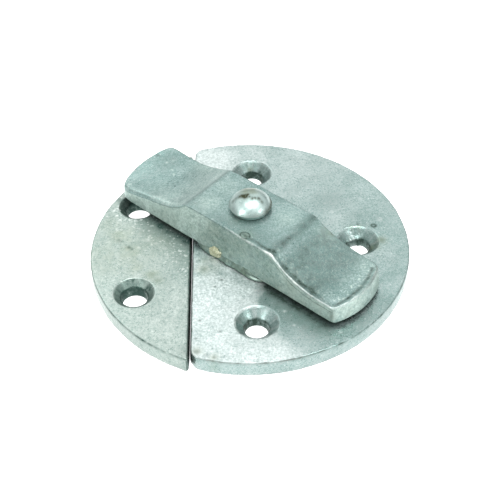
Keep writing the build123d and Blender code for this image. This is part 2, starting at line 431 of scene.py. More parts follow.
def turning_bar(material):
    """The cast bar as one closed grid. Each column starts at the rivet's bore or on a line down the middle of
    the top, runs out to the outline, turns over the arris by a quarter circle, follows the drafted side down,
    turns under and runs back to the bore or the middle line. The outline's corners are worn round by a
    running mean, and the bore's wall joins the first row to the last."""
    counts = (300, 84, 300, 84)
    share = np.concatenate([k + np.arange(n) / n for k, n in enumerate(counts)])
    worn = np.exp(-0.5 * (np.minimum(share, 4 - share) / 0.12) ** 2)
    crisp = np.exp(-0.5 * ((share - 1) / 0.08) ** 2)

    def ring(rise):
        """The outline at heights above the wings' underside, with its corners worn round over 5 points of the
        grid, the left end's near corner over 9 and the right end's over 3."""
        plan = bar_plan(share, rise)
        return [rounded(r, 5) * (1 - worn - crisp) + rounded(r, 9) * worn + rounded(r, 3) * crisp for r in plan]

    near_side = (share < 1).astype(float)
    right_end = ((share >= 1) & (share < 2)).astype(float)
    spine_u = np.clip(bar_plan(share, np.zeros_like(share))[0], *spine_ends)
    bored = np.abs(spine_u) < bar_bore_radius
    spine_v = np.sqrt(np.where(bored, bar_bore_radius**2 - spine_u**2, 0)) * np.where(near_side > 0, -1, 1)
    edge_u, edge_v = ring(np.full_like(share, 5.0))
    left = 1 - smoothstep(edge_u, -14, -11)
    slumped = right_end * smoothstep(edge_v, -4, 4)
    edge_space = to_part(edge_u, edge_v, 8.0)
    arris = 0.26 + 0.06 * cloud(edge_space, 3.0, 5) + 0.08 * cloud(edge_space, 0.9, 6) + 0.15 * slumped
    arris += near_side * (0.60 * left + 0.12 * bell(edge_u - 12.8, 1.4))
    arris = np.clip(arris, 0.15, 1.1)
    lipped = np.maximum(near_side * smoothstep(edge_u, 9, 13), right_end)
    rolled = near_side * 0.28 * smoothstep(edge_u, -2, 6) * smoothstep(edge_u, 15, 12.5)
    out_u, out_v = ring(np.clip(bar_top_height(edge_u, edge_v) - wing_underside, 0, None))
    in_u, in_v = spine_u - out_u, spine_v - out_v
    span = np.hypot(in_u, in_v)
    in_u, in_v = in_u / span, in_v / span
    rows = []

    def add_row(u, v, z, away=99.0, edge=0.0, turned=2.0):
        """Adds a row of points, with their distance in from the arris, their share in its wear, and how far round
        the arris they lie: 0 on the top, 1 where the side starts, 2 below."""
        rows.append(np.broadcast_arrays(u, v, z, away, edge, turned))

    for t in 1 - (1 - np.linspace(0, 1, 41)[:-1]) ** 1.25:
        u = spine_u + (out_u + in_u * arris - spine_u) * t
        v = spine_v + (out_v + in_v * arris - spine_v) * t
        away = (span - arris) * (1 - t)
        lip = lipped * (0.10 * bell(away, 0.35) - 0.07 * bell(away - 0.85, 0.4)) - rolled * bell(away, 1.1)
        add_row(u, v, bar_top_height(u, v) + lip, away, bell(away, 0.10) * (1 - 0.5 * slumped), 0.0)
    for turn in np.linspace(0, math.pi / 2, 9):
        inset, drop = arris * (1 - math.sin(turn)), arris * (1 - math.cos(turn))
        u, v = out_u + in_u * inset, out_v + in_v * inset
        lip = lipped * 0.10 * math.cos(turn) - rolled
        add_row(u, v, bar_top_height(u, v) - drop + lip, 0.0, 1 - 0.5 * slumped, turn / (math.pi / 2))
    top_rows, shoulder = len(rows), rows[-1][2]
    for t in np.linspace(0, 1, 34)[1:]:
        z = shoulder + (wing_underside + under_round - shoulder) * t
        add_row(*ring(z - wing_underside), z, edge=0.8 * bell(shoulder - z, 0.10))
    low_u, low_v = ring(np.zeros_like(share))
    for turn in np.radians((30, 60, 90)):
        inset, drop = under_round * (1 - math.cos(turn)), under_round * math.sin(turn)
        add_row(low_u + in_u * inset, low_v + in_v * inset, wing_underside + under_round - drop)
    low_u, low_v = low_u + in_u * under_round, low_v + in_v * under_round
    for t in np.linspace(0, 1, 9)[1:]:
        add_row(low_u + (spine_u - low_u) * t, low_v + (spine_v - low_v) * t, wing_underside)
    u, v, z, away, edge_share, turned = np.array(rows).swapaxes(0, 1)
    place, points = np.stack([u, v, z], -1), to_part(u, v, z)
    on_top = (np.arange(len(rows)) < top_rows)[:, None]
    outer = ~on_top * (z > wing_underside + 0.05)
    across = (v + bar_near) / (bar_near + bar_far)
    crease = right_near_crease + (right_far_crease - right_near_crease) * across
    ridge = left_near_crease + (left_far_crease - left_near_crease) * across
    soft_edge = near_side * left
    end_face = rounded(right_end, 2)
    side_line = near_side * outer * (1 - end_face)

    # Darker bands just inside the lip and the block's near edge, painted shade along the right crease, darker
    # towards the block's near edge and at the end's far edge, and darker over the right wing.
    darkening = 0.32 * lipped * bell(away - 0.95, 0.4)
    darkening += 0.40 * near_side * bell(away - 0.7, 0.35) * smoothstep(u, 2, 6) * smoothstep(u, 13, 12)
    darkening += 0.46 * bell(u - crease - 0.1, 0.65) * (0.9 + 0.2 * cloud(points, 1.5, 52))
    darkening += 0.22 * smoothstep(-v, 2, 8) * smoothstep(u, -12, -10) * smoothstep(u, 13, 11)
    darkening += 0.45 * slumped * bell(away, 0.2)
    darkening += 0.30 * right_end * bell(away - 0.75, 0.4) * (1 + 0.9 * cloud(points, 0.7, 57))
    darkening += 0.46 * smoothstep(u, 13, 16) * smoothstep(u, 28, 22)
    soil_and_shade = 0.09 + 0.07 * cloud(points, 5.0, 51) + on_top * darkening
    # The underside is painted dark all over: painted shade under the wings.
    soil_and_shade = strongest(soil_and_shade, spots(place, bar_soil), ~on_top & (z < wing_underside + 0.05))
    # Painted shade on the block's side of the right crease and in the left crease, and a painted dark line where the
    # left wing's near edge turns down.
    darkening = 0.35 * bell(u - crease + 0.7, 0.8) * (0.7 + 0.5 * cloud(points, 2.5, 56))
    soil_and_shade += on_top * (darkening + 0.22 * bell(u + ridge + 0.3, 0.4)) + soft_edge * 0.35 * bell(turned - 1.0, 0.15)
    # A mottle on the sides, and a painted dark spot at the right end's near corner in place of a reflection there.
    darkening = 0.18 * np.clip(cloud(points, 0.7, 66), 0, 1) + 0.40 * bell(np.hypot(u - 28.9, v + 8.6), 0.45)
    soil_and_shade += outer * darkening + side_line * 0.40 * bell(shoulder - z - 0.85, 0.13) * smoothstep(u, 11, 14)
    far_outline = 1 - np.clip(near_side + right_end, 0, 1)
    soil_and_shade = strongest(soil_and_shade, edge_share * far_outline * (0.35 + 0.3 * cloud(points, 1.6, 55)))

    sparkle = smoothstep(cloud(points, 0.32, 57), 0.25, 0.6)
    by_edge = np.clip(bell(away - 1.6, 1.5) * lipped + 0.35 * smoothstep(u, 13, 14), 0, 1)
    # Painted light: a light band on the left wing beside its crease and another near U = -16, where its hollow top
    # faces the light, over lighter spots.
    bare_and_sheen = spots(place, bar_bare) + 0.20 * bell(u + ridge + 1.6, 1.2) + 0.30 * bell(u + 16.0, 3.2)
    bare_and_sheen = on_top * (bare_and_sheen + 0.8 * sparkle * by_edge)
    # A painted highlight along the left wing's rounded near edge.
    bare_and_sheen += soft_edge * 0.22 * smoothstep(turned, 0.75, 0.4) * bell(away, 0.5)
    # Painted light on the sides: the right end face lighter, with a painted highlight in its middle, and the other
    # sides lighter, more left of the middle and towards the right end.
    painted_end_light = 0.68 + 0.70 * bell(np.hypot(v + 5.0, z - 6.4), 2.6)
    painted_side_light = 0.47 + 0.60 * smoothstep(u, -1, -11) - 0.45 * smoothstep(u, -20, -32)
    painted_side_light += 0.95 * smoothstep(u, 13, 19) - 0.20 * bell(u - 11.5, 4.0)
    mottle = 0.22 * cloud(points, 0.5, 64) + 0.14 * cloud(points, 1.1, 65)
    bare_and_sheen += outer * (end_face * painted_end_light + (1 - end_face) * painted_side_light + mottle)
    bare_and_sheen += side_line * 0.5 * bell(z - wing_underside - 0.32, 0.10)

    stain = outer * (0.04 + 0.10 * cloud(points, 2.0, 60) + 0.12 * smoothstep(u, -9, -2) * (1 - end_face))
    stain = strongest(stain, on_top * spots(place, bar_stain))
    # Worn arrises along the near side and the right end, lighter in colour; partly a painted highlight.
    edge_wear_and_highlight = 0.38 * smoothstep(edge_u, -2, 3) + 0.22 * smoothstep(edge_u, 14, 20) + 0.5 * bell(edge_u - 13.0, 2.0)
    edge_wear_and_highlight = near_side * edge_wear_and_highlight + right_end * 0.45
    worn_edge_and_highlight = edge_share * edge_wear_and_highlight * (0.8 + 0.4 * cloud(points, 1.1, 53) + 0.4 * cloud(points, 0.4, 59))

    skin = 0.05 * cloud(points, 6.0, 21) + 0.022 * cloud(points, 1.9, 22) + 0.012 * cloud(points, 0.7, 23) - 0.03
    loop = np.hypot(u - 4.8, (v + 7.2) * 1.3) - 1.1
    skin -= spots(place, bar_dents, np.add) + on_top * 0.12 * bell(loop, 0.28)
    soil_and_shade = strongest(soil_and_shade, on_top * 0.95 * bell(loop, 0.25))
    points = points + normals_of(points) * skin[..., None]
    wanted = np.ones(points.shape[:2], bool)
    wanted[-1] = bored | np.roll(bored, -1)
    faces = grid_faces(*points.shape[:2], True)[wanted.ravel()]
    # Soil carries painted shade too, bare painted light, and worn a painted highlight.
    paint = {"soil_and_shade": soil_and_shade, "bare_and_sheen": bare_and_sheen, "worn": worn_edge_and_highlight, "stain": stain}
    piece("turning_bar", points, [faces], paint, material, "button", "turn_button")


def normals_of(points):
    """Outward normals of a closed grid of points, from the cross product of its two directions."""
    down = np.gradient(points, axis=0)
    across = np.roll(points, -1, 1) - np.roll(points, 1, 1)
    normal = np.cross(down, across)
    length = np.linalg.norm(normal, axis=-1, keepdims=True)
    normal = np.where(length > 1e-9, normal / np.maximum(length, 1e-9), (0, 0, 1))
    sign = np.sign((normal * (points - points.mean((0, 1)))).sum(-1).mean())
    return normal * sign


def bar_foot(material):
    """The foot under the block: a rounded rectangle whose outline moves in and out by a small random amount.
    It rises from the plate to meet the bar's sides, with a lip of casting flash at its near right corner, and
    runs inside the bar to the rivet's bore, whose wall joins the first row to the last."""
    left, right, near, far = foot_size
    turn = turns(720)
    half_u, half_v = (left + right) / 2 - foot_round, (near + far) / 2 - foot_round
    reach_u = half_u / np.maximum(np.abs(np.cos(turn)), 1e-9)
    reach_v = half_v / np.maximum(np.abs(np.sin(turn)), 1e-9)
    reach = np.minimum(reach_u, reach_v)
    base_u, base_v = reach * np.cos(turn), reach * np.sin(turn)
    way_u, way_v = box_normals(base_u, base_v, half_u, half_v)
    base_u, base_v = base_u + (right - left) / 2, base_v + (far - near) / 2
    space = to_part(base_u, base_v, 4.0)
    ragged = 0.16 * cloud(space, 1.5, 31) + 0.12 * cloud(space, 0.6, 32)
    flash = bell(np.hypot(base_u - 7.9, base_v + near - foot_round), 1.3)
    over_near = smoothstep(-way_v, 0.3, 0.9)
    bore_u, bore_v = bar_bore_radius * np.cos(turn), bar_bore_radius * np.sin(turn)
    rows = [to_part(bore_u, bore_v, plate_thickness)]
    # Each row: how far out, its height, and its share of the random movement
    profile = ((-0.45, plate_thickness, 0.3), (-0.12, 3.77, 0.8), (0.0, 3.86, 1), (0.02, 4.0, 1), (-0.02, 4.2, 1))
    profile += ((-0.08, 4.4, 1), (-0.17, 4.6, 0.9), (-0.26, 4.8, 0.7), (-0.36, 5.0, 0.5), (-0.44, 5.25, 0.35))
    profile += ((-0.50, 5.5, 0.2), (-0.56, 5.8, 0.1), (-0.64, 6.1, 0), (-1.2, foot_top, 0))
    for out, z, loose in profile:
        swell = foot_round + out + ragged * loose + flash * 0.20 * bell(z - 4.15, 0.22)
        swell -= (1 - over_near) * 0.25 * smoothstep(z, 4.2, 4.7)
        height = z + 0.05 * cloud(space, 1.1, 33) * loose * smoothstep(z, 3.9, 4.4)
        height = np.where(z > 5.1, 5.1 + (height - 5.1) * over_near, height)
        rows.append(to_part(base_u + way_u * swell, base_v + way_v * swell, height))
    rows.append(to_part(bore_u, bore_v, foot_top))
    points = np.stack(rows)
    z = points[..., 2]
    flashed = flash * bell(z - 4.35, 0.22) * (0.6 + 0.6 * cloud(points, 0.5, 58))
    soil_and_shade = 0.95 * bell(z - 3.8, 0.2) + 0.25 + 0.35 * cloud(points, 0.9, 54) + 0.9 * flash * bell(z - 4.75, 0.22)
    paint = {"soil_and_shade": soil_and_shade, "bare_and_sheen": 0.35 * flashed, "stain": 0.35 + 0.2 * cloud(points, 1.1, 59)}
    piece("bar_foot", points, [grid_faces(*points.shape[:2], True)], paint, material, "button")


def box_normals(u, v, half_u, half_v):
    """Outward directions of a rounded rectangle from its inner rectangle's points: straight out along the sides,
    and turning at each corner over a short run of points."""
    on_right, on_top = np.isclose(np.abs(u), half_u), np.isclose(np.abs(v), half_v)
    ring = np.stack([np.where(on_right, np.sign(u), 0.0), np.where(on_top, np.sign(v), 0.0)])
    ring = rounded(ring, 12)
    return ring / np.linalg.norm(ring, axis=0)


def gate_stub(material):
    """The stub where the casting's gate was broken off, on the foot's near side: a flattened ball whose radius
    swells and dips by coarse and fine random amounts."""
    turn, tilt = turns(96), np.linspace(-math.pi / 2, math.pi / 2, 49)[:, None]
    way = (np.cos(tilt) * np.cos(turn), np.cos(tilt) * np.sin(turn), np.sin(tilt))
    way = np.stack(np.broadcast_arrays(*way), -1)
    swell = 1 + 0.22 * cloud(way, 0.55, 61) + 0.10 * cloud(way, 0.22, 62)
    u, v, z = np.moveaxis(way * swell[..., None] * (1.6, 0.8, 1.5), -1, 0)
    points = to_part(u - 2.3, v - 8.75, z + 5.0)
    paint = {"soil_and_shade": 0.15 + 0.2 * cloud(points, 0.5, 63)}
    piece("gate_stub", points, [grid_faces(*points.shape[:2])], paint, material, "button")


def forged_rivet(material):
    """The rivet as a turned profile: domed head with a steep rolled edge, shank, and spread tail. The dome's
    radius dips by a small amount where the hammer struck it."""
    rise = head_height - head_edge
    dome = (head_radius**2 + rise**2) / (2 * rise)
    sweep = np.linspace(0, math.asin(head_radius / dome), 56)
    profile = [(dome * math.sin(t), block_top + head_height - dome * (1 - math.cos(t))) for t in sweep]
    profile += [(head_radius - 0.02, block_top + 0.85), (head_radius - 0.09, block_top + 0.65)]
    profile += [(head_radius - 0.20, block_top + 0.42), (head_radius - 0.33, block_top + 0.2)]
    profile += [(head_seat_radius + 0.08, block_top + 0.04), (head_seat_radius, block_top - 0.06)]
    profile += [(shank_radius, block_top - 0.06)]
    profile += [(shank_radius, z) for z in np.linspace(12.0, recess_depth + 0.05, 12)]
    profile += [(tail_radius, recess_depth), (tail_radius, (recess_depth + tail_inset) / 2)]
    profile += [(tail_crown_radius, tail_inset), (0.0, tail_inset)]
    radius, height = np.array(profile).T[:, :, None]
    turn = turns(240)
    x, y = pivot[0] + radius * np.cos(turn), pivot[1] + radius * np.sin(turn)
    points = np.stack(np.broadcast_arrays(x, y, height), -1)
    head = smoothstep(points[..., 2], block_top + 0.1, block_top + 0.6)
    dent = 0.07 * (cloud(points, 3.0, 41) - 0.6) + 0.04 * (cloud(points, 1.3, 42) - 0.6)
    away = points - (*pivot, block_top + head_height - dome)
    away = away / np.linalg.norm(away, axis=-1, keepdims=True)
    points = points + away * (np.minimum(dent, 0.0) * head)[..., None]
    z, local = points[..., 2], points[..., :2] - pivot
    # Painted shade: the head's rim darkened, most on the far side, in place of a bright reflection there, and a dark
    # ring where the head sits on the block.
    far_rim_shade = 0.30 + 0.45 * smoothstep(local.sum(-1), -2, 2)
    far_rim_shade = far_rim_shade * smoothstep(np.hypot(local[..., 0], local[..., 1]), 3.9, 4.45)
    seat_shade, below = 0.75 * bell(z - block_top, 0.16), 0.6 * (z < block_top - 0.3)
    soil_and_shade = strongest(spots(local, rivet_soil) * head, far_rim_shade * head, seat_shade, below)
    paint = {"soil_and_shade": soil_and_shade, "stain": spots(local, rivet_stain) * head}
    piece("forged_rivet", points, [grid_faces(*points.shape[:2])], paint, material, "button", "rivet")


# Marks of the bar, in its own frame: U, V, Z, radius and strength or depth
bar_soil = (
    (-28, 4, 8.6, 4.5, 0.26), (15.3, 7.6, 11, 0.9, 0.5), (16.5, 7, 10.6, 0.8, 0.45), (-31.9, 4.1, 9.2, 0.5, 0.8),
    (-32, -6.1, 6.6, 0.35, 0.7), (-29.9, -5.2, 7.2, 0.3, 0.6), (-27.2, -5.3, 7.6, 0.3, 0.6),
    (-24.8, 7.4, 9.4, 0.35, 0.6), (2, -8.4, 6.2, 0.9, 0.35), (3.2, 7, 13.3, 2.2, 0.26), (4.5, -8.4, 5.8, 1, 0.35),
    (0.3, -8.4, 7.6, 0.8, 0.3), (3.2, -8.3, 8.6, 0.7, 0.3), (-7, -8.3, 10, 0.9, 0.25),
)
bar_dents = (
    (-31.9, 4.1, 9.2, 0.45, 0.25), (-32, -6.1, 6.6, 0.3, 0.12), (-29.9, -5.2, 7.2, 0.25, 0.1),
    (-27.2, -5.3, 7.6, 0.25, 0.1), (20.5, -8.4, 8.3, 0.35, 0.12), (24, -3, 9, 0.4, 0.05), (8, 3, 13.3, 0.4, 0.05),
    (-5, 5, 13.3, 0.4, 0.05), (2.6, -8.3, 6.6, 0.4, 0.12), (4.4, -8.3, 6, 0.45, 0.12), (1.4, -8.3, 7.4, 0.35, 0.1),
    (10.5, -8.3, 9.5, 0.3, 0.08),
)
bar_stain = ((15.3, 7.6, 0.9, 0.4), (16.5, 7, 0.9, 0.4), (4.8, -7.2, 1.6, 0.3), (0.5, -4.8, 2, 0.15))
bar_bare = (
    (8.5, 2.3, 2.8, 0.33), (-8, -5, 3.2, 0.5), (-8.5, 1.5, 3, 0.25), (-6.2, -7.6, 0.3, 0.9), (-3.7, -8, 0.25, 0.9),
    (-28.1, 3.1, 0.3, 0.8), (-27.3, 4.3, 0.3, 0.8), (-25.2, 1.8, 0.3, 0.8), (-23.7, 0.9, 0.3, 0.8),
    (-31.5, -6.8, 0.3, 0.8), (-30.1, -6.9, 0.3, 0.8), (-19.6, -7, 3, 0.25), (28, 1.5, 3.6, 0.12),
    (18, -7.2, 1.6, 0.25), (-20.1, 7, 2.8, 0.4), (-22.5, -5.2, 2.4, 0.22), (15.8, 5.8, 2.2, 0.42), (27, 5, 2.6, 0.3),
)
rivet_soil = (
    (-3.6, -0.6, 0.5, 0.5), (-2.9, -0.45, 0.5, 0.6), (-2.3, -0.35, 0.6, 0.9), (-1.7, -0.4, 0.75, 1.1),
    (-1.1, -0.6, 0.8, 1.3), (-0.6, -0.2, 0.5, 1), (-0.2, -0.9, 0.4, 0.7), (0.4, -1.3, 0.45, 0.95),
    (1, -1.2, 0.45, 0.85), (1.7, -1.2, 0.5, 0.9), (2.4, -1.7, 0.4, 0.7), (-1, 2.9, 0.4, 0.55), (0, 3, 0.4, 0.55),
    (-0.3, 1.6, 1.7, 0.3), (2.2, 1.6, 1.4, 0.15),
)
rivet_stain = ((-0.9, 0.9, 1, 0.75), (0.3, 0.9, 1, 0.75), (-0.6, 2, 1, 0.75), (0.4, 2, 0.9, 0.7), (1, 0.6, 0.7, 0.5))

# Marks of the plates: X, Y, radius and strength or depth
main_soil = (
    (-5.9, -11.4, 0.35, 0.8), (-7.3, -13.4, 0.3, 0.7), (-6.3, -26.2, 0.35, 0.6), (-11.1, -28, 0.35, 0.6),
    (-10.4, -23.1, 0.35, 0.6), (24.3, 5.4, 0.35, 0.8), (28.9, -0.1, 0.9, 0.35), (27.4, -1.7, 0.8, 0.3),
    (-10.9, -31.4, 0.8, 0.45), (-9, -32.6, 0.7, 0.4), (-7.4, -33.2, 0.5, 0.35), (-9.8, -8.2, 1, 0.2),
    (6.8, -23.6, 2.4, 0.3), (18.8, 13.6, 4.5, 0.2), (31, 11.5, 3, 0.08), (2, -31.5, 2.5, 0.12),
)
main_dents = (
    (-5.9, -11.4, 0.3, 0.12), (-7.3, -13.4, 0.28, 0.1), (-6.3, -26.2, 0.3, 0.1), (-11.1, -28, 0.3, 0.1),
    (-10.4, -23.1, 0.3, 0.1), (24.3, 5.4, 0.35, 0.14), (4.9, -26.2, 0.6, 0.1), (-10.9, -31.4, 0.7, 0.1),
    (6.8, -21, 0.3, 0.06), (8.6, -25, 0.3, 0.06), (17.9, -27.1, 0.3, 0.06),
)
main_bare = (
    (6.8, -21, 0.35, 0.9), (8.6, -25, 0.3, 0.8), (17.9, -27.1, 0.3, 0.8), (18.9, 9.6, 0.45, 0.8),
    (29.4, 6.8, 0.6, 0.5), (29, -4.4, 3.2, 0.22), (9.8, -29.8, 3, 0.22), (-8, 29, 6.5, 1), (26.5, -4.2, 2.5, 0.2),
    (2, 31, 4, 0.4), (12, 27, 8, 0.25), (20, 6.5, 4, 0.3),
)
hole_soil = (
    (3, 26, 2.4, 0.8, 0.85), (3.6, 23.6, 2.2, 0.8, 0.9), (3.1, 21.4, 2.2, 0.8, 0.8), (4.9, -26, 2.7, 0.7, 0.9),
    (20.6, -0.6, 1.9, 1.2, 0.7), (26.6, -1.2, 2.2, 0.9, 0.3), (-25.2, -11.6, 2.6, 0.9, 0.3),
)
hole_flaws = (
    (24.1, 2.65, 1.85, 0.35, -0.45), (23.3, 2.58, 1.85, 0.35, -0.5), (22.6, 2.3, 1.85, 0.35, -0.5),
    (22, 1.8, 1.85, 0.35, -0.45), (24.3, 2.36, 0.35, 0.4, -0.5), (23.5, 2.37, 0.35, 0.4, -0.5),
    (22.75, 2.1, 0.35, 0.4, -0.5), (22.15, 1.6, 0.35, 0.4, -0.4), (22.6, 3.6, 3, 0.3, 0.15),
    (-23.4, -11.3, 2.9, 0.3, 0.12),
)
ledge_bare = (
    (23.3, 2.2, 1.9, 0.4, 0.8), (22.6, 1.9, 1.9, 0.4, 0.8), (23.5, 2, 0.4, 0.5, 0.8), (22.8, 1.8, 0.4, 0.5, 0.8),
    (22.6, 3.5, 2.9, 0.25, 0.9), (22.8, 3, 2.4, 0.25, 0.9),
)
groove_shade = (
    (24.1, 2.6, 1.4, 0.3, 1), (23.3, 2.5, 1.4, 0.3, 1), (22.6, 2.2, 1.4, 0.3, 1), (22, 1.7, 1.4, 0.3, 1),
    (21.5, 1, 1.7, 0.3, 0.8),
)
keeper_soil = (
    (-28.3, 1.5, 0.45, 0.75), (-27.9, 1.1, 0.35, 0.7), (-26, -0.8, 0.5, 0.75), (-25.4, -1.5, 0.35, 0.7),
    (-20.6, -9.4, 0.8, 0.25), (-19.4, -11.3, 0.6, 0.25), (-13.4, -30.6, 0.9, 0.35), (-13.2, -31.4, 0.5, 0.5),
)
keeper_stain = (
    (-30.7, 6.4, 2.2, 0.30), (-28, 3, 3, 0.40), (-26, -2, 3, 0.38), (-24.5, -6.6, 2.6, 0.28),
    (-20.6, -9.4, 1.8, 0.35), (-19.4, -11.3, 1.2, 0.35), (-31, -4, 5, 0.22), (-22, 0, 5, 0.2),
)
main_stain = (
    (-9.8, -8.2, 1.6, 0.45), (-9.6, -5.6, 1.2, 0.3), (28.9, -0.1, 1.2, 0.5), (27.4, -1.7, 1.2, 0.5),
    (26.6, -1.2, 1.4, 0.7), (-10.9, -31.4, 1.2, 0.4), (-7.4, -33.2, 1, 0.35), (24.5, 4.6, 0.5, 0.4),
    (22.8, 4.5, 0.5, 0.35), (0.8, 26.8, 0.6, 0.5),
)
keeper_dents = ((-28.3, 1.5, 0.4, 0.06), (-26, -0.8, 0.4, 0.06), (-13.2, -31.4, 0.5, 0.12), (-22, 1.3, 0.3, 0.05))
keeper_bare = (
    (-26.4, 8, 0.3, 0.8), (-22, 1.3, 0.35, 0.8), (-18.2, -1.4, 0.3, 0.8), (-24.2, 5.2, 0.3, 0.8),
    (-20.4, 0.2, 0.3, 0.8), (-16.5, -24, 5, 0.12), (-14.8, -17, 3, 0.2),
)


def bare_and_lit_patch(x, y):
    """How bare the main plate is worn in front of the bar, with painted light over the same place: full from the
    straight edge across to a bound that follows a line of stated places, along the edge of the right wing's
    shade, and from the hem near Y = -9.5 down to the rim."""
    places = (-34.0, -30.0, -26.0, -22.0, -18.3, -16.6, -14.9, -13.4)
    bound = np.interp(y, places, (11.5, 7.0, 4.5, 2.4, 1.3, 2.2, 3.1, 3.1))
    fade = np.interp(y, (-34.0, -28.0, -22.0, -16.0), (9.0, 5.0, 2.0, 0.7))
    return smoothstep(x, bound + fade / 2, bound - fade / 2) * smoothstep(-10.3 - y, -0.2, 0.2)


def paint_hole(points, holes, grimes, thickness):
    """Soil and bare metal on the walls of the screw holes: each hole has its own grime, in radial streaks on the
    cone, and more of it down the bore."""
    soil_and_shade, bare_and_sheen = np.zeros(len(points)), np.zeros(len(points))
    depth = thickness - points[:, 2]
    for (x, y, bore, sink), darkening in zip(holes, grimes):
        out = points[:, :2] - (x, y)
        away = np.hypot(*out.T)
        wall = (away < sink + 0.02) * (points[:, 2] > 0.01) * (depth > 0.1)
        way = np.column_stack([out * (sink / np.maximum(away, 1e-6))[:, None] + (x, y), 0 * away])
        streak = cloud(way, 0.55, 93)
        mottled = darkening + 0.16 * streak + 0.14 * cloud(points, 0.6, 94)
        down = smoothstep(depth, sink - bore - 0.3, sink - bore + 0.1)
        soil_and_shade = np.maximum(soil_and_shade, wall * (mottled + 0.5 * down))
        bare_and_sheen = np.maximum(bare_and_sheen, wall * (1 - down) * 0.45 * smoothstep(streak, 0.45, 0.75))
    return soil_and_shade, bare_and_sheen


def edge_grime(points, inside, thickness):
    """A thin broken line of grime in the worn edge between a plate's top and its rim."""
    line = bell(inside - 0.14, 0.2) * smoothstep(points[:, 2], thickness - 0.5, thickness - 0.2)
    return line * (0.5 + 0.35 * cloud(points, 2.4, 91) + 0.25 * cloud(points, 0.7, 92))


def plate_zones(points, centre, from_split, thickness, seed):
    """What both plates' finishes go by: the top, all but the back, the distance in from the outline, the rim
    below it, the split face, the place along the bar, the distance out from the bar's near side, and the
    amount of the painted contact shadow, a narrow dark line close along that side."""
    x, y, z = points.T
    top = smoothstep(z, thickness - 0.4, thickness - 0.2)
    inside = np.minimum(disc_radius - np.hypot(x - centre[0], y - centre[1]), from_split)
    rim = (1 - top) * (inside < 0.3) * (from_split > 0.3)
    split_face = (from_split < 0.3) * (z < thickness - 0.4)
    along, across, _ = from_part(points)
    out = -across - bar_near
    # Painted contact shadow: a narrow dark line on the plate close along the bar's near side.
    painted_contact_shadow = bell(out - 0.2, 1.25) * (0.9 + 0.3 * cloud(points, 1.4, seed))
    return top, smoothstep(z, 0.3, 0.8), inside, 0.10 * rim, split_face, along, out, painted_contact_shadow


def paint_main(points):
    """The main plate's finishes."""
    x, y, _ = points.T
    zones = plate_zones(points, (0, 0), x - main_edge, plate_thickness, 75)
    top, front, inside, rim, split_face, along, from_bar, painted_contact_shadow = zones
    beside = smoothstep(along, 9.5, 12.0) * smoothstep(along, 31.0, 27.0)
    soil_and_shade = 0.06 + 0.08 * cloud(points, 7.0, 71) + 0.06 * cloud(points, 2.2, 72)
    # Painted shadow of the right wing on the plate in front of it: the contact line and a broad band.
    soil_and_shade += front * beside * (0.55 * painted_contact_shadow + 0.34 * bell(from_bar, 6.0))
    # Worn bare metal in front of the bar, painted light as well, its right-hand bound on the edge of the wing's
    # shade; above the hem, rougher metal painted lighter where the plate mirrors the bar's dark side; and a little
    # painted light towards the far side.
    bare_and_lit = bare_and_lit_patch(x, y) * (0.85 + 0.15 * cloud(points, 3.0, 73))
    hem = 0.9 * bell(y + 10.35, 0.22) * smoothstep(x, -11.8, -10) * smoothstep(x, 0.5, -1.5)
    bare_and_lit_above_hem = smoothstep(y, -10.4, -10.2) * smoothstep(x, 3.0, -2.0) * smoothstep(y, -1.0, -4.0)
    bare_and_lit_above_hem = bare_and_lit_above_hem * (0.68 + 0.35 * cloud(points, 1.2, 74))
    bare_and_sheen = strongest(bare_and_lit, hem, bare_and_lit_above_hem, spots(points, main_bare)) + 0.15 * smoothstep(y, 4, 16)
    hole_grime, hole_bare = paint_hole(points, main_holes, (0.26, 0.42, 0.32), plate_thickness)
    ledge = spots(points, ledge_bare)
    soil_and_shade = strongest(soil_and_shade, front * spots(points, main_soil), spots(points, hole_soil), hole_grime)
    ring = front * 1.3 * bell(np.hypot(x - 27.8, y - 4.7) - 0.45, 0.26)
    # Painted shade in the groove of the right-hand hole and on the split face, beside a thin line of grime at the
    # rim's edge and a ring-shaped pit.
    marks = (spots(points, groove_shade), 0.55 * split_face, edge_grime(points, inside, plate_thickness), ring)
    soil_and_shade = strongest(soil_and_shade * (1 - ledge), *marks)
    bare_and_sheen = strongest(bare_and_sheen * top, rim, hole_bare, ledge)
    return {"soil_and_shade": soil_and_shade, "bare_and_sheen": bare_and_sheen, "stain": front * spots(points, main_stain)}


def paint_keeper(points):
    """The keeper plate's finishes."""
    x = points[:, 0]
    zones = plate_zones(points, keeper_centre, keeper_edge - x, keeper_thickness, 86)
    top, front, inside, rim, split_face, _, from_bar, painted_contact_shadow = zones
    soil_and_shade = 0.05 + 0.06 * cloud(points, 7.0, 81) + 0.06 * cloud(points, 2.2, 82)
    soil_and_shade += front * spots(points, keeper_soil) * (0.8 + 0.6 * cloud(points, 0.6, 83))
    # Painted shadow of the bar on the keeper in front of it: the contact line and a broad band nearer the split.
    soil_and_shade += front * (0.48 * painted_contact_shadow + 0.42 * bell(from_bar, 5.0) * smoothstep(x, -27, -23))
    hole_grime, hole_bare = paint_hole(points, keeper_holes, (0.62, 0.66), keeper_thickness)
    # The split face is painted dark: painted shade between the plates.
    soil_and_shade = strongest(soil_and_shade, hole_grime, 0.8 * split_face, edge_grime(points, inside, keeper_thickness))
    speckle = smoothstep(cloud(points, 0.40, 84), 0.50, 0.65) * (bell(from_bar - 4.0, 4.5) + 0.15)
    bare_and_sheen = 0.15 + spots(points, keeper_bare) + 1.1 * speckle
    bare_and_sheen = strongest(bare_and_sheen * top, rim, hole_bare)
    stain = front * spots(points, keeper_stain) * (0.75 + 0.5 * cloud(points, 1.3, 85))
    return {"soil_and_shade": soil_and_shade * (1 - speckle), "bare_and_sheen": bare_and_sheen, "stain": stain}


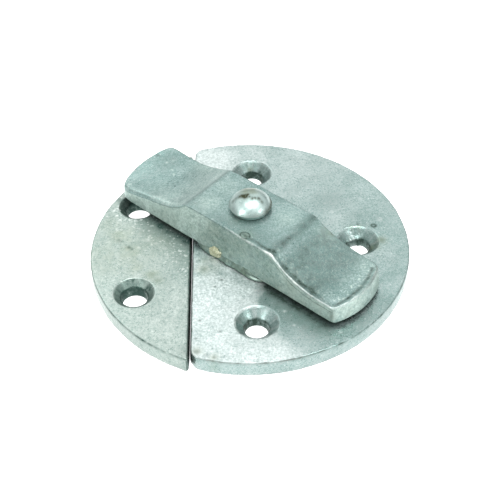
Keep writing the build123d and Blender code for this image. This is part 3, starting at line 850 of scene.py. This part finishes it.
def add_node(tree, kind, values=(), **settings):
    """A node with its settings, and its inputs set to values or joined to other nodes' outputs."""
    made = tree.nodes.new(kind)
    for key, value in settings.items():
        setattr(made, key, value)
    for key, value in dict(values).items():
        if isinstance(value, bpy.types.NodeSocket):
            tree.links.new(value, made.inputs[key])
        else:
            made.inputs[key].default_value = value
    return made


def noise(tree, place, scale, detail, roughness):
    values = {"Vector": place, "Scale": scale, "Detail": detail, "Roughness": roughness}
    return add_node(tree, "ShaderNodeTexNoise", values).outputs["Fac"]


def maths(tree, operation, first, second, clamp=False):
    return add_node(tree, "ShaderNodeMath", {0: first, 1: second}, operation=operation, use_clamp=clamp).outputs[0]


def times(tree, first, second, clamp=False):
    return maths(tree, "MULTIPLY", first, second, clamp)


def weighed(tree, parts, start):
    """The start plus each part's distance from a half times its weight."""
    total = start
    for value, weight in parts:
        total = maths(tree, "ADD", times(tree, maths(tree, "SUBTRACT", value, 0.5), weight), total)
    return total


def dots(tree, place, scale, radius, kept):
    """Small round dots, one in some of the cells of a Voronoi pattern."""
    cells = add_node(tree, "ShaderNodeTexVoronoi", {"Vector": place, "Scale": scale})
    split = add_node(tree, "ShaderNodeSeparateColor", {0: cells.outputs["Color"]})
    chosen = maths(tree, "LESS_THAN", split.outputs[0], kept)
    levels = {0: cells.outputs["Distance"], 1: radius, 2: radius * 0.5, 3: 0.0, 4: 1.0}
    return times(tree, chosen, add_node(tree, "ShaderNodeMapRange", levels).outputs[0])


def ramp(tree, value, places, colours):
    """A value's colour on a scale of colours at rising places."""
    made = add_node(tree, "ShaderNodeValToRGB", {0: value})
    elements = made.color_ramp.elements
    for _ in places[2:]:
        elements.new(0.5)
    for element, place, colour in zip(elements, places, colours):
        element.position = place
        element.color = (*colour, 1)
    return made.outputs[0]


def cast_finish(name, tones, bare_tones, soil_and_shade_colour, worn_and_highlight_colour, metallic, rough, grit):
    """Cast metal: a grain of light and dark, small dark pits and bright flecks over a slow mottle, and the
    painted finishes laid over it, each broken up by the grain: bare metal, partly painted light; stain; soil,
    partly painted shade; and worn edges, partly a painted highlight."""
    material = bpy.data.materials.new(name)
    material.use_nodes = True
    tree = material.node_tree
    shader = tree.nodes["Principled BSDF"]
    place = add_node(tree, "ShaderNodeTexCoord").outputs["Object"]
    grain = noise(tree, place, 2100.0, 3.0, 0.65)
    fine = noise(tree, place, 4600.0, 2.0, 0.6)
    mottle = noise(tree, place, 190.0, 4.0, 0.6)
    patches = noise(tree, place, 620.0, 3.0, 0.6)
    pits = dots(tree, place, 1150.0, 0.2, 0.08)
    flecks = dots(tree, place, 1600.0, 0.22, 0.18)

    def painted(finish, by_grain, by_patches, start):
        """How much of a painted finish shows."""
        amount = add_node(tree, "ShaderNodeAttribute", attribute_name=finish).outputs["Fac"]
        return times(tree, amount, weighed(tree, ((grain, by_grain), (patches, by_patches)), start), True)

    bare_and_sheen = painted("bare_and_sheen", 1.2, 0.35, 0.95)
    soil_and_shade = painted("soil_and_shade", 1.2, 1.6, 1.0)
    bare_value = weighed(tree, ((grain, 1.6), (fine, 0.9), (patches, 0.45)), 0.48)
    layers = (
        (bare_and_sheen, ramp(tree, bare_value, (0.1, 0.8), bare_tones)),
        (times(tree, flecks, 0.7), (*bare_tones[1], 1)),
        (times(tree, pits, 0.18), (*soil_and_shade_colour, 1)),
        (painted("stain", 1.0, 1.4, 0.9), (*stain_colour, 1)),
        (soil_and_shade, (*soil_and_shade_colour, 1)),
        (painted("worn", 1.6, 1.0, 1.0), (*worn_and_highlight_colour, 1)),
    )
    value = weighed(tree, ((grain, 1.5 * grit), (fine, 1.6 * grit), (mottle, 0.8), (patches, 0.6)), 0.5)
    colour = ramp(tree, value, (0.1, 0.5, 0.9), tones)
    for amount, over in layers:
        colour = add_node(tree, "ShaderNodeMix", {0: amount, 6: colour, 7: over}, data_type="RGBA").outputs[2]
    tree.links.new(colour, shader.inputs["Base Color"])

    roughness = weighed(tree, ((grain, 0.35), (patches, 0.25)), rough)
    roughness = maths(tree, "ADD", roughness, times(tree, bare_and_sheen, 0.22))
    roughness = maths(tree, "ADD", roughness, times(tree, soil_and_shade, 0.30), True)
    tree.links.new(roughness, shader.inputs["Roughness"])
    shader.inputs["Metallic"].default_value = metallic

    relief = weighed(tree, ((grain, 1.0), (fine, 0.5)), 0.5)
    relief = maths(tree, "SUBTRACT", relief, times(tree, pits, 0.6))
    bump = add_node(tree, "ShaderNodeBump", {"Height": relief, "Strength": 1.0, "Distance": 0.000022 * grit})
    tree.links.new(bump.outputs[0], shader.inputs["Normal"])
    return material


stain_colour = (0.225, 0.265, 0.165)
main_metal = cast_finish(
    "main_plate_metal",
    ((0.155, 0.243, 0.226), (0.245, 0.338, 0.323), (0.355, 0.43, 0.42)), ((0.36, 0.42, 0.41), (0.66, 0.72, 0.71)),
    (0.034, 0.060, 0.048), (0.50, 0.56, 0.53), 0.80, 0.27, 0.9,
)
keeper_metal = cast_finish(
    "keeper_plate_metal",
    ((0.182, 0.257, 0.232), (0.255, 0.325, 0.295), (0.38, 0.44, 0.41)), ((0.36, 0.41, 0.39), (0.64, 0.69, 0.66)),
    (0.032, 0.070, 0.058), (0.50, 0.56, 0.53), 0.80, 0.28, 0.95,
)
bar_metal = cast_finish(
    "bar_cast_metal",
    ((0.125, 0.212, 0.198), (0.200, 0.297, 0.282), (0.31, 0.40, 0.39)), ((0.315, 0.42, 0.385), (0.575, 0.69, 0.645)),
    (0.035, 0.058, 0.048), (0.55, 0.60, 0.57), 0.78, 0.32, 1.1,
)
gate_metal = cast_finish(
    "gate_break",
    ((0.22, 0.24, 0.15), (0.38, 0.40, 0.27), (0.52, 0.53, 0.40)), ((0.4, 0.4, 0.3), (0.6, 0.6, 0.5)),
    (0.10, 0.09, 0.04), (0.6, 0.6, 0.5), 0.2, 0.6, 1.2,
)
rivet_metal = cast_finish(
    "rivet_worn_metal",
    ((0.23, 0.33, 0.31), (0.34, 0.44, 0.42), (0.44, 0.53, 0.51)), ((0.4, 0.45, 0.44), (0.6, 0.65, 0.64)),
    (0.035, 0.042, 0.022), (0.6, 0.65, 0.64), 0.85, 0.33, 0.5,
)

main_marks = np.concatenate([pitted(3, 320, (-12, -35), (35, 35)), main_dents])
plate(
    "main_plate_casting", *segment_outline(disc_radius, main_edge, main_corner_round, outline_step),
    plate_thickness, main_holes, True, main_marks, paint_main, main_metal, "main_plate", 100,
)
outline, ways = segment_outline(disc_radius, keeper_centre[0] - keeper_edge, keeper_corner_round, outline_step)
outline, ways = (outline * (-1, 1) + keeper_centre)[::-1], (ways * (-1, 1))[::-1]
keeper_marks = np.concatenate([pitted(4, 140, (-34, -34), (-12, 32)), keeper_dents])
plate(
    "keeper_plate_casting", outline, ways,
    keeper_thickness, keeper_holes, False, keeper_marks, paint_keeper, keeper_metal, "keeper_plate", 200,
)
turning_bar(bar_metal)
bar_foot(bar_metal)
gate_stub(gate_metal)
forged_rivet(rivet_metal)


world_strength = 1.21
horizon_strength = 0.35
floor_glow = 1.25  # the light that the floor gives back lights the rims and the bar's sides
floor_drop = 2e-5
floor_reach = 1.5
wall_reach = 1.45
wall_height = 1.6
# Each soft light: azimuth and elevation in degrees, distance, width, height, power
lamps = (
    ("overhead_box", 28, 77, 0.7, 0.56, 0.27, 3.8),
    ("right_box", 56, 29, 0.7, 0.22, 0.22, 1.1),
    ("left_box", -44, 29, 0.7, 0.13, 0.13, 1.7),
    ("back_box", -176, 42, 0.7, 0.90, 0.35, 0.34),
    ("back_left_box", -140, 45, 0.7, 0.40, 0.40, 0.8),
)


def glowing(name, corners, faces, settings):
    """A plain glowing surface of the surroundings."""
    mesh = bpy.data.meshes.new(name)
    mesh.from_pydata(corners, [], faces)
    material = bpy.data.materials.new(name + "_paper")
    material.use_nodes = True
    shader = material.node_tree.nodes["Principled BSDF"]
    shader.inputs["Emission Color"].default_value = (1, 1, 1, 1)
    for key, value in settings.items():
        shader.inputs[key].default_value = value
    mesh.materials.append(material)
    return placed(name, mesh)


def pale_floor():
    """A plain pale floor, well wider than the view, just under the plates' backs."""
    corners = [(x * floor_reach, y * floor_reach, -floor_drop) for x, y in ((-1, -1), (1, -1), (1, 1), (-1, 1))]
    settings = {"Base Color": (0.35, 0.35, 0.35, 1), "Emission Strength": floor_glow}
    settings |= {"Roughness": 0.9, "Specular IOR Level": 0.1}
    floor = glowing("floor", corners, [(0, 1, 2, 3)], settings)


def backdrop():
    """A plain white wall all round the floor's middle, as a ring of upright strips, which only the camera sees."""
    turn = turns(64)
    low = level(wall_reach * np.column_stack([np.cos(turn), np.sin(turn)]), -floor_drop)
    settings = {"Base Color": (0, 0, 0, 1), "Emission Strength": 1.0}
    corners = np.concatenate([low, low + (0, 0, wall_height)]).tolist()
    wall = glowing("backdrop", corners, grid_faces(2, len(low)).tolist(), settings)
    wall.visible_diffuse = wall.visible_glossy = wall.visible_transmission = wall.visible_shadow = False


def view_way(azimuth, elevation):
    """The way from the object towards a view at this azimuth and elevation in degrees."""
    a, e = math.radians(azimuth), math.radians(elevation)
    return Vector((math.sin(a) * math.cos(e), -math.cos(a) * math.cos(e), math.sin(e)))


def looking(name, data, spot, way, roll=0.0):
    """An object at a spot that looks back along the way towards it, rolled about its line of sight."""
    holder = placed(name, data)
    holder.location = spot
    holder.rotation_mode = "QUATERNION"
    holder.rotation_quaternion = (-way).to_track_quat("-Z", "Y") @ Quaternion((0, 0, 1), roll)
    return holder


def studio():
    """Pale surroundings, dimmer towards the horizon, and soft lights that face the object."""
    world = bpy.data.worlds.new("studio")
    world.use_nodes = True
    tree = world.node_tree
    way = add_node(tree, "ShaderNodeTexCoord").outputs["Generated"]
    up = add_node(tree, "ShaderNodeSeparateXYZ", {0: way}).outputs[2]
    levels = {0: up, 1: 0.05, 2: 0.5, 3: horizon_strength, 4: world_strength}
    strength = add_node(tree, "ShaderNodeMapRange", levels, interpolation_type="SMOOTHSTEP").outputs[0]
    background = tree.nodes["Background"]
    background.inputs["Color"].default_value = (1, 1, 1, 1)
    tree.links.new(strength, background.inputs["Strength"])
    bpy.context.scene.world = world
    for name, azimuth, elevation, distance, width, height, power in lamps:
        lamp = bpy.data.lights.new(name, "AREA")
        lamp.shape = "RECTANGLE"
        lamp.size, lamp.size_y = width, height
        lamp.energy = power
        way = view_way(azimuth, elevation)
        looking(name, lamp, way * distance, way)
    bpy.context.scene.view_settings.view_transform = "Standard"


def camera():
    """The camera at the photograph's place: its line of sight, worked out from the plates' rims and holes,
    and a small roll about it."""
    distance, focal_pixels, picture_pixels, roll = 0.2427, 1100, 500, math.radians(-0.36)
    aim, back = Vector((0.00027, 0.00067, 0.00072)), view_way(-0.97, 43.05)
    lens = bpy.data.cameras.new("camera")
    lens.sensor_width = 36.0
    lens.lens = lens.sensor_width * focal_pixels / picture_pixels
    lens.clip_start, lens.clip_end = 0.01, 10
    bpy.context.scene.camera = looking("camera", lens, aim + back * distance, back, roll)


pale_floor()
backdrop()
studio()
camera()
